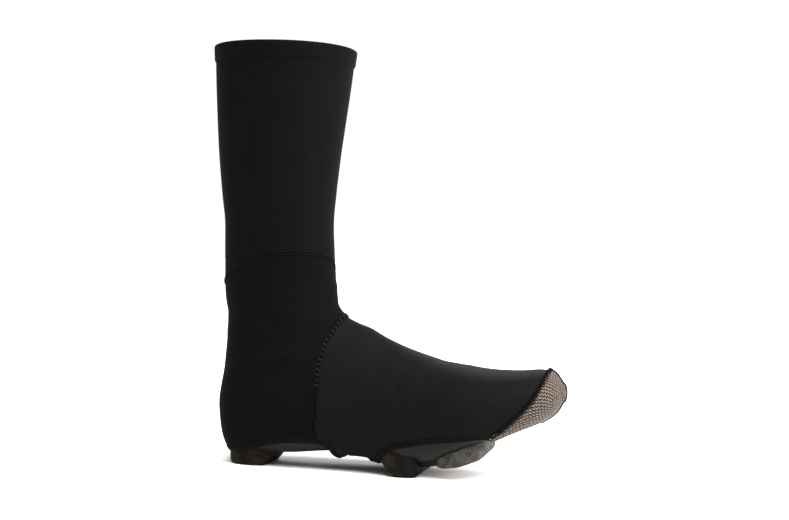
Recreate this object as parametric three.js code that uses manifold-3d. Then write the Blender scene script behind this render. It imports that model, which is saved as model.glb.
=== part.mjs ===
// Tall cycling overshoe for the left foot, worn over a cycling shoe of which only the sole shows.
// Millimetres. +X runs from heel to toe, +Y to the outer side of the foot, +Z up.
// The cover is one loft of sections that turn from level in the shaft, round the heel, to upright
// in the forefoot. Every piece of cloth and the sole inside it are cut from that loft at some inset.
import * as THREE from "three";
import { mergeVertices } from "three/addons/utils/BufferGeometryUtils.js";
import Module from "manifold-3d";

// Driving dimensions: the cover
const foot_length = 300;
const boot_height = 360;
const instep_height = 132;
const ball_width = 108;
const collar_depth = 122;
const collar_width = 114;
const shaft_setback = 47;
const neoprene_wall = 2.4;
const fit_gap = 0.3;

// Driving dimensions: what is sewn on the cover
const cap_wall = 1.1;
const hem_wall = 0.9;
const hem_height = 5;
const collar_hem_height = 13;
const seam_wall = 0.7;
const seam_width = 5;
const seam_lift = 0.55;

// Driving dimensions: the sole
const rim_height = 23;
const rim_wall = 3.5;
const plate_thickness = 5;
const insole_thickness = 3;
const cleat_length = 46;
const cleat_width = 34;
const cleat_height = 5;
const cleat_corner = 7;
const cleat_clearance = 3;
const bolt_diameter = 7;
const bolt_head = 2;
const bolt_sink = 2.5;
const bolt_spacing = 18;

// How curved forms are cut into facets
const ring_points = 26;
const steps_per_row = 2;
const edge_points = 15;
const cap_edge_points = 12;
const seam_points = 32;
const bolt_points = 14;

// The row where a form that is open above begins, how many of the last rows draw back with the
// inset, and how far apart those rows lie
const above_collar = -0.15;
const toe_row_count = 3;
const toe_row_length = 4;

// A table as one object for each row, with the columns' names as keys
function table(columns, ...rows) {
  return rows.map((row) => Object.fromEntries(row.map((value, k) => [columns[k], value])));
}

// Sections of the shaft. height: share of the way from the instep to the collar. front and back:
// shares of the collar depth from the shaft's middle. inner and outer: half widths as shares of the
// collar width. belly: where between front and back the section is widest. front_form and
// back_form: 2 is round and more is squarer.
const shaft_sections = table(
  ["height", "front", "back", "inner", "outer", "belly", "front_form", "back_form"],
  [1.0, 0.5, 0.5, 0.5, 0.5, 0.5, 2.1, 2.1],
  [0.83, 0.467, 0.484, 0.472, 0.472, 0.5, 2.1, 2.1],
  [0.61, 0.42, 0.455, 0.425, 0.425, 0.5, 2.1, 2.1],
  [0.44, 0.393, 0.42, 0.39, 0.39, 0.5, 2.1, 2.1],
  [0.34, 0.385, 0.395, 0.365, 0.365, 0.5, 2.1, 2.1],
  [0.23, 0.4, 0.39, 0.335, 0.335, 0.5, 2.1, 2.1],
);

// Sections of the foot, from the ankle to the toe tip. top_x and sole_x: shares of the foot length
// from the heel. top_z and sole_z: shares of the instep height. inner and outer: half widths as
// shares of the ball width. belly, top_form and sole_form as above.
const foot_sections = table(
  ["top_x", "top_z", "sole_x", "sole_z", "inner", "outer", "belly", "top_form", "sole_form"],
  [0.327, 1.235, 0.002, 1.13, 0.33, 0.33, 0.5, 2.0, 2.1],
  [0.335, 1.112, 0.014, 0.92, 0.332, 0.335, 0.52, 2.0, 2.1],
  [0.347, 1.03, 0.01, 0.64, 0.34, 0.345, 0.56, 1.9, 2.2],
  [0.368, 0.982, 0.0, 0.34, 0.345, 0.35, 0.6, 1.8, 2.4],
  [0.403, 0.945, 0.05, 0.068, 0.35, 0.36, 0.62, 1.8, 3.2],
  [0.44, 0.915, 0.21, 0.07, 0.35, 0.37, 0.66, 1.8, 3.8],
  [0.49, 0.855, 0.35, 0.098, 0.358, 0.4, 0.66, 1.8, 4.0],
  [0.555, 0.795, 0.48, 0.086, 0.395, 0.45, 0.64, 1.9, 4.0],
  [0.633, 0.742, 0.6, 0.065, 0.45, 0.5, 0.62, 2.0, 4.0],
  [0.71, 0.708, 0.71, 0.125, 0.485, 0.515, 0.6, 2.1, 3.8],
  [0.8, 0.688, 0.8, 0.225, 0.47, 0.475, 0.58, 2.2, 3.4],
  [0.873, 0.69, 0.877, 0.308, 0.42, 0.39, 0.56, 2.3, 3.0],
  [0.93, 0.703, 0.937, 0.38, 0.34, 0.28, 0.54, 2.3, 2.6],
  [0.967, 0.685, 0.973, 0.44, 0.24, 0.16, 0.52, 2.2, 2.4],
  [0.99, 0.62, 0.992, 0.51, 0.13, 0.03, 0.5, 2.0, 2.0],
);

// Edge of the heel opening seen from the side: x as a share of the foot length, z of the instep height
const heel_edge = table(
  ["x", "z"],
  [-0.08, 0.082],
  [0.05, 0.086],
  [0.12, 0.11],
  [0.165, 0.142],
  [0.21, 0.166],
  [0.265, 0.177],
  [0.32, 0.178],
  [0.352, 0.168],
  [0.372, 0.13],
  [0.378, 0.04],
  [0.378, -0.1],
);

// Edge of the forefoot opening, in the same shares
const forefoot_edge = table(
  ["x", "z"],
  [0.487, -0.1],
  [0.49, 0.04],
  [0.505, 0.12],
  [0.535, 0.17],
  [0.585, 0.203],
  [0.65, 0.235],
  [0.72, 0.257],
  [0.775, 0.275],
  [0.81, 0.272],
  [0.822, 0.2],
  [0.822, -0.1],
);

// Rear edge of the toe cap, in the same shares, from above the toe to below it
const cap_edge = table(
  ["x", "z"],
  [0.972, 0.8],
  [0.955, 0.72],
  [0.945, 0.65],
  [0.932, 0.58],
  [0.909, 0.5],
  [0.876, 0.417],
  [0.838, 0.335],
  [0.81, 0.28],
  [0.79, 0.1],
);

// Seams over the loft: row is the section counted from the collar, turn the share of the way round
// from the front by the inner side
const back_seam_path = table(
  ["row", "turn"],
  [0.38, 0.5],
  [1.5, 0.5],
  [3, 0.5],
  [5, 0.5],
  [6.5, 0.5],
  [8, 0.5],
  [9.45, 0.5],
);
const ankle_seam_path = table(
  ["row", "turn"],
  [5.83, 0.482],
  [5.76, 0.45],
  [5.66, 0.409],
  [5.45, 0.33],
  [5.26, 0.286],
  [5.12, 0.25],
  [5.05, 0.19],
  [5.04, 0.118],
  [5.14, 0.07],
  [5.23, 0.034],
  [5.4, 0],
  [5.75, -0.035],
  [6.15, -0.07],
  [6.9, -0.105],
  [7.7, -0.125],
  [8.45, -0.132],
  [9.15, -0.132],
);
const instep_seam_path = table(
  ["row", "turn"],
  [11.38, 0.264],
  [11.2, 0.242],
  [10.99, 0.217],
  [10.72, 0.19],
  [10.43, 0.167],
  [10.06, 0.144],
  [9.68, 0.119],
  [9.33, 0.086],
  [8.95, 0.042],
  [8.8, 0],
  [8.95, -0.042],
  [9.33, -0.086],
  [9.68, -0.119],
  [10.06, -0.144],
  [10.43, -0.167],
  [10.72, -0.19],
  [11.0, -0.22],
  [11.34, -0.26],
);

// The seam between the two toe caps, as a share of the ball width
const cap_seam = -0.035;

// Window under the toe, through which the sole shows: x and reach are shares of the foot length,
// y and half_width of the ball width, top of the instep height
const toe_window = { x: 0.815, y: -0.03, reach: 0.12, half_width: 0.3, top: 0.42 };

// Ground pads: from and to are shares of the foot length, inner and outer of the ball width, and
// corner, the radius in plan, of the pad's shorter side
const heel_pad_plan = { from: 0.04, to: 0.187, inner: 0.25, outer: 0.26, corner: 0.46 };
const ball_pad_plan = { from: 0.498, to: 0.622, inner: 0.37, outer: 0.41, corner: 0.29 };
const toe_pad_plan = { from: 0.638, to: 0.797, inner: 0.385, outer: 0.4, corner: 0.46 };

// Their lower lines from the side: x as a share of the foot length, z of the instep height
const heel_pad_profile = table(
  ["x", "z"],
  [0.02, 0.075],
  [0.045, 0.012],
  [0.06, 0],
  [0.153, 0],
  [0.2, 0.105],
);
const ball_pad_profile = table(
  ["x", "z"],
  [0.48, 0.15],
  [0.5, 0.1],
  [0.52, 0.058],
  [0.546, 0],
  [0.614, 0],
  [0.63, 0.03],
);
const toe_pad_profile = table(
  ["x", "z"],
  [0.63, 0.062],
  [0.68, 0.07],
  [0.723, 0.087],
  [0.78, 0.133],
  [0.803, 0.178],
  [0.82, 0.24],
);

// The cleat's middle, and a height inside the shoe that is above every pad
const cleat_middle = 0.627 * foot_length;
const above_pads = 0.35 * instep_height;

const wasm = await Module();
wasm.setup();

function solidFrom(positions, triangles) {
  const vertProperties = new Float32Array(positions);
  const triVerts = new Uint32Array(triangles);
  return new wasm.Manifold(new wasm.Mesh({ numProp: 3, vertProperties, triVerts }));
}

function solidFromGeometry(geometry) {
  geometry.deleteAttribute("normal");
  geometry.deleteAttribute("uv");
  const merged = mergeVertices(geometry, 1e-4);
  return solidFrom(merged.attributes.position.array, merged.index.array);
}

// All sections as rows of lengths, from the collar to the toe tip
const section_rows = [];
for (const s of shaft_sections) {
  const z = instep_height + s.height * (boot_height - instep_height);
  const front = shaft_setback + s.front * collar_depth;
  const back = shaft_setback - s.back * collar_depth;
  const inner = s.inner * collar_width;
  const outer = s.outer * collar_width;
  section_rows.push([front, z, back, z, inner, outer, s.belly, s.front_form, s.back_form]);
}
for (const s of foot_sections) {
  const top = [s.top_x * foot_length, s.top_z * instep_height];
  const sole = [s.sole_x * foot_length, s.sole_z * instep_height];
  const widths = [s.inner * ball_width, s.outer * ball_width];
  section_rows.push([...top, ...sole, ...widths, s.belly, s.top_form, s.sole_form]);
}
const last_row = section_rows.length - 1;

// The first row whose back point is at the heel, where the line along the sole begins
const heel_row = shaft_sections.length + 3;

function cubic(p0, p1, p2, p3, s) {
  const a = 2 * p1;
  const b = (p2 - p0) * s;
  const c = (2 * p0 - 5 * p1 + 4 * p2 - p3) * s * s;
  const d = (3 * p1 - p0 - 3 * p2 + p3) * s * s * s;
  return 0.5 * (a + b + c + d);
}

// The section at a row number that may lie between two rows, drawn in by inset on all its sides
function sectionAt(row, inset) {
  const i = THREE.MathUtils.clamp(Math.floor(row), 0, last_row - 1);
  const before = section_rows[Math.max(i - 1, 0)];
  const after = section_rows[Math.min(i + 2, last_row)];
  const v = section_rows[i].map((p1, k) => {
    const p2 = section_rows[i + 1][k];
    const p0 = i === 0 ? 2 * p1 - p2 : before[k];
    const p3 = i === last_row - 1 ? 2 * p2 - p1 : after[k];
    return cubic(p0, p1, p2, p3, row - i);
  });
  const top = new THREE.Vector2(v[0], v[1]);
  const sole = new THREE.Vector2(v[2], v[3]);
  const toward = sole.clone().sub(top).normalize();
  const toe_share = THREE.MathUtils.clamp((row - last_row) / toe_row_count + 1, 0, 1);
  const drawn_back = new THREE.Vector2(inset * toe_share, 0);
  top.addScaledVector(toward, inset).sub(drawn_back);
  sole.addScaledVector(toward, -inset).sub(drawn_back);
  return {
    top,
    sole,
    inner: v[4] - inset,
    outer: v[5] - inset,
    belly: v[6],
    top_form: v[7],
    sole_form: v[8],
  };
}

// A point of the cover's surface, drawn in by inset. turn runs from 0 at the front or top by the
// inner side to 0.5 at the back or sole, and on by the outer side.
function surfacePoint(row, turn, inset) {
  const s = sectionAt(row, inset);
  const angle = turn * 2 * Math.PI;
  const cos = Math.cos(angle);
  const sin = Math.sin(angle);
  const form = cos >= 0 ? s.top_form : s.sole_form;
  const along = Math.abs(cos) ** (2 / form);
  const across = Math.abs(sin) ** (2 / form);
  const share = cos >= 0 ? s.belly * (1 - along) : s.belly + (1 - s.belly) * along;
  const x = s.top.x + (s.sole.x - s.top.x) * share;
  const z = s.top.y + (s.sole.y - s.top.y) * share;
  return new THREE.Vector3(x, sin >= 0 ? -across * s.inner : across * s.outer, z);
}

// The whole cover as a solid form drawn in by inset, from first_row to the toe
function coverForm(inset, first_row = 0) {
  const given_up = Math.ceil(Math.max(inset, 0) / toe_row_length);
  const end = last_row - given_up;
  const rows = [first_row];
  for (let r = 1; r <= end * steps_per_row; r += 1) rows.push(r / steps_per_row);
  const positions = [];
  for (const r of rows) {
    for (let k = 0; k < ring_points; k += 1) {
      positions.push(...surfacePoint(r, k / ring_points, inset).toArray());
    }
  }
  const triangles = [];
  for (let r = 0; r < rows.length - 1; r += 1) {
    for (let k = 0; k < ring_points; k += 1) {
      const a = r * ring_points + k;
      const b = r * ring_points + ((k + 1) % ring_points);
      triangles.push(a, b, a + ring_points, b, b + ring_points, a + ring_points);
    }
  }
  for (const r of [0, rows.length - 1]) {
    const s = sectionAt(rows[r], inset);
    const hub = positions.length / 3;
    positions.push((s.top.x + s.sole.x) / 2, (s.outer - s.inner) / 2, (s.top.y + s.sole.y) / 2);
    for (let k = 0; k < ring_points; k += 1) {
      const a = r * ring_points + k;
      const b = r * ring_points + ((k + 1) % ring_points);
      triangles.push(...(r === 0 ? [hub, b, a] : [hub, a, b]));
    }
  }
  return solidFrom(positions, triangles);
}

// The layer of cloth between two distances outside the cover's surface
function layer(near, far) {
  return coverForm(-far).subtract(coverForm(-near, above_collar));
}

// A side-view outline pushed through the shoe from one y to another
function sideways(points, from_y = -ball_width, to_y = ball_width) {
  const geometry = new THREE.ExtrudeGeometry(new THREE.Shape(points), {
    depth: to_y - from_y,
    bevelEnabled: false,
  });
  geometry.rotateX(Math.PI / 2);
  geometry.translate(0, to_y, 0);
  return solidFromGeometry(geometry);
}

// A short table of side-view shares as a smooth line in millimetres
function edgeLine(table, count) {
  const points = table.map((p) => new THREE.Vector2(p.x * foot_length, p.z * instep_height));
  return new THREE.SplineCurve(points).getPoints(count);
}

// The same line moved sideways by distance, to its left as it runs
function besideLine(line, distance) {
  return line.map((p, i) => {
    const before = line[Math.max(i - 1, 0)];
    const after = line[Math.min(i + 1, line.length - 1)];
    const along = after.clone().sub(before).normalize();
    return new THREE.Vector2(p.x - along.y * distance, p.y + along.x * distance);
  });
}

// The cover's lowest line along the foot
const sole_line = [];
for (let r = heel_row; r <= last_row; r += 1 / steps_per_row) {
  sole_line.push(sectionAt(r, 0).sole);
}

// Height of a curved line given by points that run towards +x
function heightOn(line, x) {
  const found = line.findIndex((p) => p.x > x);
  const i = found < 0 ? line.length - 1 : Math.max(1, found);
  const a = line[i - 1];
  const b = line[i];
  return a.y + ((b.y - a.y) * (x - a.x)) / (b.x - a.x);
}

// The region between the cover's lowest line raised by low and by high, right across the shoe
function solesStrip(low, high) {
  const lower = sole_line.map((p) => new THREE.Vector2(p.x, p.y + low));
  const upper = sole_line.map((p) => new THREE.Vector2(p.x, p.y + high));
  const heel = new THREE.Vector2(-foot_length, 0);
  const toe = new THREE.Vector2(foot_length, 0);
  lower.unshift(lower[0].clone().add(heel));
  upper.unshift(upper[0].clone().add(heel));
  lower.push(lower[lower.length - 1].clone().add(toe));
  upper.push(upper[upper.length - 1].clone().add(toe));
  return sideways([...lower, ...upper.reverse()]);
}

// An outline seen from above, raised from one height to another
function upright(shape, from_z, to_z) {
  const geometry = new THREE.ExtrudeGeometry(shape, {
    depth: to_z - from_z,
    bevelEnabled: false,
    curveSegments: 4,
  });
  geometry.translate(0, 0, from_z);
  return solidFromGeometry(geometry);
}

function roundedPlan(from_x, to_x, from_y, to_y, radius) {
  const shape = new THREE.Shape();
  const quarter = Math.PI / 2;
  shape.absarc(to_x - radius, to_y - radius, radius, 0, quarter);
  shape.absarc(from_x + radius, to_y - radius, radius, quarter, 2 * quarter);
  shape.absarc(from_x + radius, from_y + radius, radius, 2 * quarter, 3 * quarter);
  shape.absarc(to_x - radius, from_y + radius, radius, 3 * quarter, 4 * quarter);
  return shape;
}

function below(line) {
  const low = -instep_height;
  const corners = [new THREE.Vector2(line[line.length - 1].x, low), new THREE.Vector2(line[0].x, low)];
  return sideways([...line, ...corners]);
}

// The cover
const collar_row_step = (1 - shaft_sections[1].height) * (boot_height - instep_height);
const hem_turn = fit_gap + hem_wall;
function collarRow(depth) {
  return depth / collar_row_step;
}
const heel_line = edgeLine(heel_edge, edge_points);
const forefoot_line = edgeLine(forefoot_edge, edge_points);
const cap_line = edgeLine(cap_edge, cap_edge_points);
const window_ellipse = new THREE.Shape();
window_ellipse.absellipse(
  toe_window.x * foot_length,
  toe_window.y * ball_width,
  toe_window.reach * foot_length,
  toe_window.half_width * ball_width,
  0,
  2 * Math.PI,
);
const window_cut = upright(window_ellipse, -instep_height, toe_window.top * instep_height);
const forefoot_cut = below(forefoot_line).add(window_cut);
const heel_cut = below(heel_line);

function upper() {
  const outside = coverForm(0, collarRow(hem_turn));
  const inside = coverForm(neoprene_wall, above_collar);
  return outside.subtract(inside).subtract(heel_cut).subtract(forefoot_cut);
}

// The side-view region ahead of the toe cap's rear edge, moved back by clearance
function aheadOfCap(clearance, from_y, to_y) {
  const far = 2 * foot_length;
  const line = cap_line.map((p) => new THREE.Vector2(p.x - clearance, p.y));
  const low = new THREE.Vector2(far, line[line.length - 1].y);
  const high = new THREE.Vector2(far, line[0].y);
  return sideways([...line, low, high], from_y, to_y);
}

const cap_seam_y = cap_seam * ball_width;
function toeCap(from_y, to_y) {
  const cloth = layer(fit_gap, fit_gap + cap_wall);
  return cloth.intersect(aheadOfCap(0, from_y, to_y)).subtract(forefoot_cut);
}

// A binding that follows an opening's edge on the cloth
function hem(line) {
  const band = sideways([...line, ...besideLine(line, hem_height).reverse()]);
  return layer(fit_gap, fit_gap + hem_wall).intersect(band);
}

// The collar's cloth turned over its edge and down the inside
function collarHem() {
  const inside = neoprene_wall + fit_gap;
  const profile = [
    [-hem_turn, collar_hem_height],
    [-fit_gap, collar_hem_height],
    [-fit_gap, hem_wall],
    [inside, hem_wall],
    [inside, collar_hem_height],
    [inside + hem_wall, collar_hem_height],
    [inside + hem_wall, 0],
    [-hem_turn, 0],
  ];
  const positions = [];
  const triangles = [];
  const count = profile.length;
  for (let k = 0; k < ring_points; k += 1) {
    for (const [inset, depth] of profile) {
      positions.push(...surfacePoint(collarRow(depth), k / ring_points, inset).toArray());
    }
    const next = (k + 1) % ring_points;
    for (let p = 0; p < count; p += 1) {
      const q = (p + 1) % count;
      const [a, b] = [k * count + p, k * count + q];
      const [c, d] = [next * count + p, next * count + q];
      triangles.push(a, c, b, b, c, d);
    }
  }
  return solidFrom(positions, triangles);
}

// A raised seam: a flat strip that hugs the cover along a path of row and turn
function raisedSeam(path) {
  const curve = new THREE.SplineCurve(path.map((p) => new THREE.Vector2(p.row, p.turn)));
  const positions = [];
  const triangles = [];
  const nudge = 0.01;
  const small_turn = 0.001;
  for (let i = 0; i <= seam_points; i += 1) {
    const share = i / seam_points;
    const at = curve.getPoint(share);
    const ahead = curve.getPoint(Math.min(share + nudge, 1));
    const behind = curve.getPoint(Math.max(share - nudge, 0));
    const here = surfacePoint(at.x, at.y, 0);
    const down = surfacePoint(at.x + nudge, at.y, 0).sub(here).divideScalar(nudge);
    const round = surfacePoint(at.x, at.y + small_turn, 0).sub(here).divideScalar(small_turn);
    const along = surfacePoint(ahead.x, ahead.y, 0).sub(surfacePoint(behind.x, behind.y, 0));
    const out = new THREE.Vector3().crossVectors(down, round).normalize();
    const side = new THREE.Vector3().crossVectors(out, along).setLength(seam_width / 2);
    const [dd, dr, rr] = [down.dot(down), down.dot(round), round.dot(round)];
    const [sd, sr] = [side.dot(down), side.dot(round)];
    const whole = dd * rr - dr * dr;
    const row_move = (sd * rr - sr * dr) / whole;
    const turn_move = (sr * dd - sd * dr) / whole;
    const far = seam_lift + seam_wall;
    for (const [way, lift] of [[1, seam_lift], [-1, seam_lift], [-1, far], [1, far]]) {
      const p = surfacePoint(at.x + way * row_move, at.y + way * turn_move, -lift);
      positions.push(...p.toArray());
    }
    if (i === 0) continue;
    const a = 4 * (i - 1);
    for (let p = 0; p < 4; p += 1) {
      const q = (p + 1) % 4;
      triangles.push(a + p, a + q, a + 4 + p, a + q, a + 4 + q, a + 4 + p);
    }
  }
  const e = 4 * seam_points;
  triangles.push(0, 2, 1, 0, 3, 2, e, e + 1, e + 2, e, e + 2, e + 3);
  return solidFrom(positions, triangles);
}

// The sole
const plate_inset = neoprene_wall + fit_gap;
function solePlate() {
  const whole = coverForm(plate_inset).intersect(solesStrip(0, plate_inset + rim_height));
  const floor = plate_inset + plate_thickness;
  const tray = coverForm(plate_inset + rim_wall).intersect(solesStrip(floor, floor + instep_height));
  return whole.subtract(tray);
}

function insole() {
  const floor = plate_inset + plate_thickness + fit_gap;
  const inside = coverForm(plate_inset + rim_wall + fit_gap);
  return inside.intersect(solesStrip(floor, floor + insole_thickness));
}

function padPlan(plan) {
  const from_x = plan.from * foot_length;
  const to_x = plan.to * foot_length;
  const from_y = -plan.inner * ball_width;
  const to_y = plan.outer * ball_width;
  const radius = plan.corner * Math.min(to_x - from_x, to_y - from_y);
  return upright(roundedPlan(from_x, to_x, from_y, to_y, radius), -above_pads, above_pads);
}

// A ground pad: its plan, above its lower line, up to the plate, and clear of the opening's edge
function pad(plan, profile, opening) {
  const line = profile.map((p) => new THREE.Vector2(p.x * foot_length, p.z * instep_height));
  const first = line[0];
  const last = line[line.length - 1];
  const corners = [new THREE.Vector2(last.x, above_pads), new THREE.Vector2(first.x, above_pads)];
  const solid = padPlan(plan).intersect(sideways([...line, ...corners]));
  return solid.intersect(below(besideLine(opening, -fit_gap))).subtract(coverForm(neoprene_wall));
}

function cleatPlan(clearance) {
  const half_length = cleat_length / 2 + clearance;
  const half_width = cleat_width / 2 + clearance;
  const from_x = cleat_middle - half_length;
  const to_x = cleat_middle + half_length;
  return roundedPlan(from_x, to_x, -half_width, half_width, cleat_corner + clearance);
}

function boltSolid(x, radius, head, sunk) {
  const bottom = heightOn(sole_line, x) + neoprene_wall - cleat_height;
  const geometry = new THREE.CylinderGeometry(radius, radius, head + sunk, bolt_points);
  geometry.rotateX(Math.PI / 2);
  geometry.translate(x, 0, bottom + (sunk - head) / 2);
  return solidFromGeometry(geometry);
}
const bolt_places = [cleat_middle - bolt_spacing / 2, cleat_middle + bolt_spacing / 2];

function cleat() {
  const body = upright(cleatPlan(0), -above_pads, above_pads)
    .intersect(solesStrip(neoprene_wall - cleat_height, instep_height))
    .subtract(coverForm(neoprene_wall));
  const pocket = (x) => boltSolid(x, bolt_diameter / 2 + fit_gap, cleat_height, bolt_sink + fit_gap);
  return body.subtract(pocket(bolt_places[0])).subtract(pocket(bolt_places[1]));
}

// Materials
const finish = (color, roughness, metalness = 0) =>
  new THREE.MeshStandardMaterial({ color, roughness, metalness });
const neoprene = finish(0x1b1a1c, 0.8);
const trim = finish(0x111111, 0.7);
const dotted_cloth = finish(0x6a5d55, 0.75);
const hard_sole = finish(0x262524, 0.35);
const rubber = finish(0x3a3836, 0.7);
const felt = finish(0x2c2c2e, 0.9);
const steel = finish(0x4a4a4a, 0.4, 0.9);
const brass = finish(0xa8703a, 0.35, 0.9);

const shoe = new THREE.Group();
function place(name, solid, material) {
  const made = solid.getMesh();
  const geometry = new THREE.BufferGeometry();
  geometry.setAttribute("position", new THREE.BufferAttribute(made.vertProperties, made.numProp));
  geometry.setIndex(new THREE.BufferAttribute(made.triVerts, 1));
  const mesh = new THREE.Mesh(geometry, material);
  mesh.name = name;
  shoe.add(mesh);
}

const cleat_room = upright(cleatPlan(cleat_clearance), -above_pads, above_pads);
const seam_end = fit_gap / 2;
const heel_pad = pad(heel_pad_plan, heel_pad_profile, heel_line);
const ball_pad = pad(ball_pad_plan, ball_pad_profile, forefoot_line);
const toe_pad = pad(toe_pad_plan, toe_pad_profile, forefoot_line);
place("upper", upper(), neoprene);
place("toe_cap_inner", toeCap(-ball_width, cap_seam_y - seam_end), dotted_cloth);
place("toe_cap_outer", toeCap(cap_seam_y + seam_end, ball_width), dotted_cloth);
place("collar_hem", collarHem(), trim);
place("heel_hem", hem(heel_line), trim);
place("forefoot_hem", hem(forefoot_line).subtract(aheadOfCap(fit_gap)), trim);
place("back_seam", raisedSeam(back_seam_path), trim);
place("ankle_seam", raisedSeam(ankle_seam_path), trim);
place("instep_seam", raisedSeam(instep_seam_path), trim);
place("sole_plate", solePlate(), hard_sole);
place("insole", insole(), felt);
place("heel_pad", heel_pad, rubber);
place("ball_pad", ball_pad.subtract(cleat_room), rubber);
place("toe_pad", toe_pad.subtract(cleat_room), rubber);
place("cleat", cleat(), steel);
place("cleat_bolt_rear", boltSolid(bolt_places[0], bolt_diameter / 2, bolt_head, bolt_sink), brass);
place("cleat_bolt_front", boltSolid(bolt_places[1], bolt_diameter / 2, bolt_head, bolt_sink), brass);

// The origin is the middle of the box that holds the shoe, on the floor
const box = new THREE.Box3().setFromObject(shoe);
shoe.position.set(-(box.min.x + box.max.x) / 2, -(box.min.y + box.max.y) / 2, -box.min.z);

export default shoe;
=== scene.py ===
import math

import bpy
import numpy as np
from mathutils import Matrix, Vector
from mathutils.bvhtree import BVHTree
from numpy.linalg import norm


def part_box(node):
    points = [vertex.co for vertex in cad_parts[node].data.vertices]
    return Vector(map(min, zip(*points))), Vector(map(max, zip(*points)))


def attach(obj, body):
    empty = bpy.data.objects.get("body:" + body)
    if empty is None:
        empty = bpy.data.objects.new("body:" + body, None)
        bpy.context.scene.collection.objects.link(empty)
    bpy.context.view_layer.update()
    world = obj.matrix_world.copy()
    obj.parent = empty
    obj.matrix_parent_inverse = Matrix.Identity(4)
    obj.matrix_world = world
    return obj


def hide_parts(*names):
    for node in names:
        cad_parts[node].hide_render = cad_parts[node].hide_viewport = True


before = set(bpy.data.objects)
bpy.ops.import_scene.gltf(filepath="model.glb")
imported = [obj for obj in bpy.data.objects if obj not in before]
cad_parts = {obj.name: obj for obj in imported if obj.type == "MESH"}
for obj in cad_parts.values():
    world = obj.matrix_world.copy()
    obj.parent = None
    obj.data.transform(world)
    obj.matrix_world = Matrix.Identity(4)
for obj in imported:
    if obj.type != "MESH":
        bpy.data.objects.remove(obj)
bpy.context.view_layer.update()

# Sizes of the shoe, in millimetres, as in the part's source. x runs from the heel to the toe, -y is
# the inner side of this left shoe and z is up from the floor.
MM = 0.001
foot_length = 300.0
boot_height = 360.0
instep_height = 132.0
ball_width = 108.0
collar_depth = 122.0
collar_width = 114.0
shaft_setback = 47.0
neoprene_wall = 2.4
fit_gap = 0.3
cap_wall = 1.1
hem_wall = 0.9
hem_height = 5.0
collar_hem_height = 13.0
rim_height = 23.0
rim_wall = 3.5
plate_thickness = 5.0
insole_thickness = 3.0
hem_turn = fit_gap + hem_wall
plate_inset = neoprene_wall + fit_gap
# Over how many rows before the tip an inset also draws the toe back
toe_rows = 3

# Shaft sections: height, front, back, half width
shaft_sections = [
    (1.0, 0.5, 0.5, 0.5),
    (0.83, 0.467, 0.484, 0.472),
    (0.61, 0.42, 0.455, 0.425),
    (0.44, 0.393, 0.42, 0.39),
    (0.34, 0.385, 0.395, 0.365),
    (0.23, 0.4, 0.39, 0.335),
]
shaft_belly = 0.5
shaft_form = 2.1

# Foot sections: top_x, top_z, sole_x, sole_z, inner, outer, belly, top_form, sole_form
foot_sections = [
    (0.327, 1.235, 0.002, 1.13, 0.33, 0.33, 0.5, 2.0, 2.1),
    (0.335, 1.112, 0.014, 0.92, 0.332, 0.335, 0.52, 2.0, 2.1),
    (0.347, 1.03, 0.01, 0.64, 0.34, 0.345, 0.56, 1.9, 2.2),
    (0.368, 0.982, 0.0, 0.34, 0.345, 0.35, 0.6, 1.8, 2.4),
    (0.403, 0.945, 0.05, 0.068, 0.35, 0.36, 0.62, 1.8, 3.2),
    (0.44, 0.915, 0.21, 0.07, 0.35, 0.37, 0.66, 1.8, 3.8),
    (0.49, 0.855, 0.35, 0.098, 0.358, 0.4, 0.66, 1.8, 4.0),
    (0.555, 0.795, 0.48, 0.086, 0.395, 0.45, 0.64, 1.9, 4.0),
    (0.633, 0.742, 0.6, 0.065, 0.45, 0.5, 0.62, 2.0, 4.0),
    (0.71, 0.708, 0.71, 0.125, 0.485, 0.515, 0.6, 2.1, 3.8),
    (0.8, 0.688, 0.8, 0.225, 0.47, 0.475, 0.58, 2.2, 3.4),
    (0.873, 0.69, 0.877, 0.308, 0.42, 0.39, 0.56, 2.3, 3.0),
    (0.93, 0.703, 0.937, 0.38, 0.34, 0.28, 0.54, 2.3, 2.6),
    (0.967, 0.685, 0.973, 0.44, 0.24, 0.16, 0.52, 2.2, 2.4),
    (0.99, 0.62, 0.992, 0.51, 0.13, 0.03, 0.5, 2.0, 2.0),
]

# Side-view edges: x as a share of the foot length, z of the instep height
heel_edge = [
    (-0.08, 0.082), (0.05, 0.086), (0.12, 0.11), (0.165, 0.142), (0.21, 0.166), (0.265, 0.177),
    (0.32, 0.178), (0.346, 0.168), (0.358, 0.13), (0.362, 0.04), (0.362, -0.1),
]
forefoot_edge = [
    (0.487, -0.1), (0.49, 0.04), (0.505, 0.12), (0.535, 0.17), (0.585, 0.203), (0.65, 0.235),
    (0.72, 0.257), (0.775, 0.275), (0.81, 0.272), (0.822, 0.2), (0.822, -0.1),
]
cap_edge = [
    (0.972, 0.8), (0.955, 0.72), (0.945, 0.65), (0.932, 0.58), (0.909, 0.5), (0.876, 0.417),
    (0.838, 0.335), (0.81, 0.28), (0.79, 0.1),
]

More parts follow.
